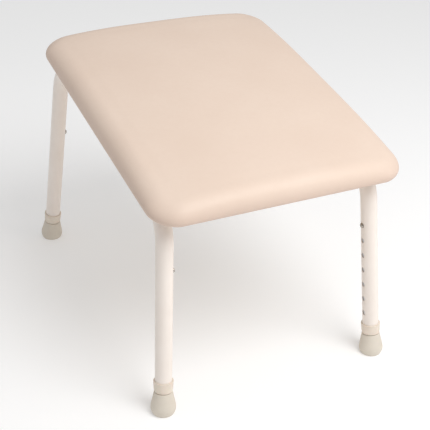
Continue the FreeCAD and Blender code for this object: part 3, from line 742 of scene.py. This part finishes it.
SPRING_WIDTH = 8.0 * MM
SPRING_STRIP = 0.6 * MM
SPRING_EDGE = 0.15 * MM
SPRING_FOLD = 2.6 * MM
SPRING_FRONT = 7.1 * MM
SPRING_BACK = -8.4 * MM
BUTTON_HEIGHT = 227.0 * MM
SPRING_REACH = 4.8 * MM
SPRING_DROP = 36.0 * MM
FOLD_STEPS = 8


def leg_place(side, end):
    """The frame of one leg: X towards the stool's middle, Z up the leg, origin at the floor."""
    up = Vector(
        (
            -side * math.sin(SIDE_SPLAY) * math.cos(END_SPLAY),
            -end * math.sin(END_SPLAY),
            math.cos(SIDE_SPLAY) * math.cos(END_SPLAY),
        )
    )
    inward = Vector((-side * math.cos(SIDE_SPLAY), 0, -math.sin(SIDE_SPLAY)))
    turned = Matrix((inward, up.cross(inward), up)).transposed().to_4x4()
    foot = Vector((side * FOOT_HALF_WIDTH, end * FOOT_HALF_LENGTH, 0))
    return Matrix.Translation(foot) @ turned


def folded(corners, radius):
    """A line through the corners, each inner one rounded, as (point, direction) pairs."""
    start, end = corners[0], corners[-1]
    line = [(start, (corners[1] - start).normalized())]
    for before, corner, after in zip(corners, corners[1:], corners[2:]):
        arriving = (corner - before).normalized()
        leaving = (after - corner).normalized()
        turn = arriving.angle(leaving)
        back = radius * math.tan(turn / 2)
        middle = corner + (leaving - arriving).normalized() * radius / math.cos(turn / 2)
        first = corner - arriving * back - middle
        axis = arriving.cross(leaving).normalized()
        for number in range(FOLD_STEPS + 1):
            bend = Matrix.Rotation(turn * number / FOLD_STEPS, 3, axis)
            line.append((middle + bend @ first, bend @ arriving))
    line.append((end, (end - corners[-2]).normalized()))
    return line


def spring_sections():
    """Sections of one strip, an oblong with cut corners, along its V in the leg's frame."""
    low = BUTTON_HEIGHT - SPRING_REACH
    high = BUTTON_HEIGHT + SPRING_REACH
    corners = [
        Vector((SPRING_FRONT, 0, high)),
        Vector((SPRING_FRONT, 0, low)),
        Vector((0, 0, BUTTON_HEIGHT - SPRING_DROP)),
        Vector((SPRING_BACK, 0, low)),
        Vector((SPRING_BACK, 0, high)),
    ]
    wide = SPRING_WIDTH / 2
    thin = SPRING_STRIP / 2
    outline = []
    for across, through in ((1, 1), (-1, 1), (-1, -1), (1, -1)):
        cuts = [(wide - SPRING_EDGE, thin), (wide, thin - SPRING_EDGE)]
        if across * through < 0:
            cuts.reverse()
        outline += [(across * y, through * x) for y, x in cuts]
    flat = Vector((0, 1, 0))
    sections = []
    for point, ahead in folded(corners, SPRING_FOLD):
        square = flat.cross(ahead)
        sections.append([point + flat * y + square * x for y, x in outline])
    return sections


def button_spring(side_name, side, end_name, end):
    """One folded strip, set between its leg and its button."""
    corner = f"{end_name}_{side_name}"
    place = leg_place(side, end)
    bm = bmesh.new()
    swept(bm, spring_sections(), closed=False)
    bm.transform(place)
    piece = piece_from(bm, f"{corner}_spring_strip", "spring_steel")
    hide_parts(f"{corner}_button_spring")
    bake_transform(piece)


for side_name, side in SIDES.items():
    for end_name, end in ENDS.items():
        button_spring(side_name, side, end_name, end)


# Floor and lights. The floor is so wide that its edge lies at the horizon.

FLOOR_SIZE = 160.0

# How bright the sky is at each height, from the horizon at 0 to straight up at 1.
SKY = ((0.0, 0.58), (0.10, 0.38), (0.75, 0.58))

# Each light's place, the point it is aimed at, its width across and its power in watts.
LIGHTS = {
    "key": ((0.42, -1.16, 1.88), (0.0, 0.0, 0.25), 1.3, 24.0),
    "fill": ((1.40, -1.10, 0.75), (0.0, 0.0, 0.20), 0.9, 3.0),
}


def make_floor():
    mesh = bpy.data.meshes.new("floor")
    half = FLOOR_SIZE / 2
    corners = [(-half, -half, 0), (half, -half, 0), (half, half, 0), (-half, half, 0)]
    mesh.from_pydata(corners, [], [(0, 1, 2, 3)])
    floor = bpy.data.objects.new("floor", mesh)
    scene.collection.objects.link(floor)
    n = Nodes("floor")
    n.set(Base_Color=(0.80, 0.80, 0.80, 1.0), Roughness=0.9, Specular_IOR_Level=0.0)
    n.set(Emission_Color=(1.0, 1.0, 1.0, 1.0), Emission_Strength=0.24)
    floor.data.materials.append(n.material)


def area_light(name, spot, aim, size, power):
    data = bpy.data.lights.new(name, "AREA")
    data.shape = "DISK"
    data.size = size
    data.energy = power
    light = bpy.data.objects.new(name, data)
    scene.collection.objects.link(light)
    light.location = spot
    light.rotation_mode = "QUATERNION"
    light.rotation_quaternion = (Vector(aim) - Vector(spot)).to_track_quat("-Z", "Y")


def make_world():
    """A pale grey sky, as light at the horizon as overhead and darker between."""
    world = bpy.data.worlds.new("studio")
    scene.world = world
    world.use_nodes = True
    tree = world.node_tree
    background = tree.nodes["Background"]
    place = tree.nodes.new("ShaderNodeTexCoord")
    split = tree.nodes.new("ShaderNodeSeparateXYZ")
    ramp = tree.nodes.new("ShaderNodeValToRGB")
    tree.links.new(place.outputs["Generated"], split.inputs["Vector"])
    tree.links.new(split.outputs["Z"], ramp.inputs["Fac"])
    tree.links.new(ramp.outputs["Color"], background.inputs["Color"])
    stops = ramp.color_ramp.elements
    while len(stops) < len(SKY):
        stops.new(0.5)
    for stop, (height, level) in zip(stops, SKY):
        stop.position = height
        stop.color = (level, level, level, 1.0)
    background.inputs["Strength"].default_value = 1.0


make_floor()
make_world()
for name, setting in LIGHTS.items():
    area_light(name, *setting)
scene.view_settings.view_transform = "Standard"
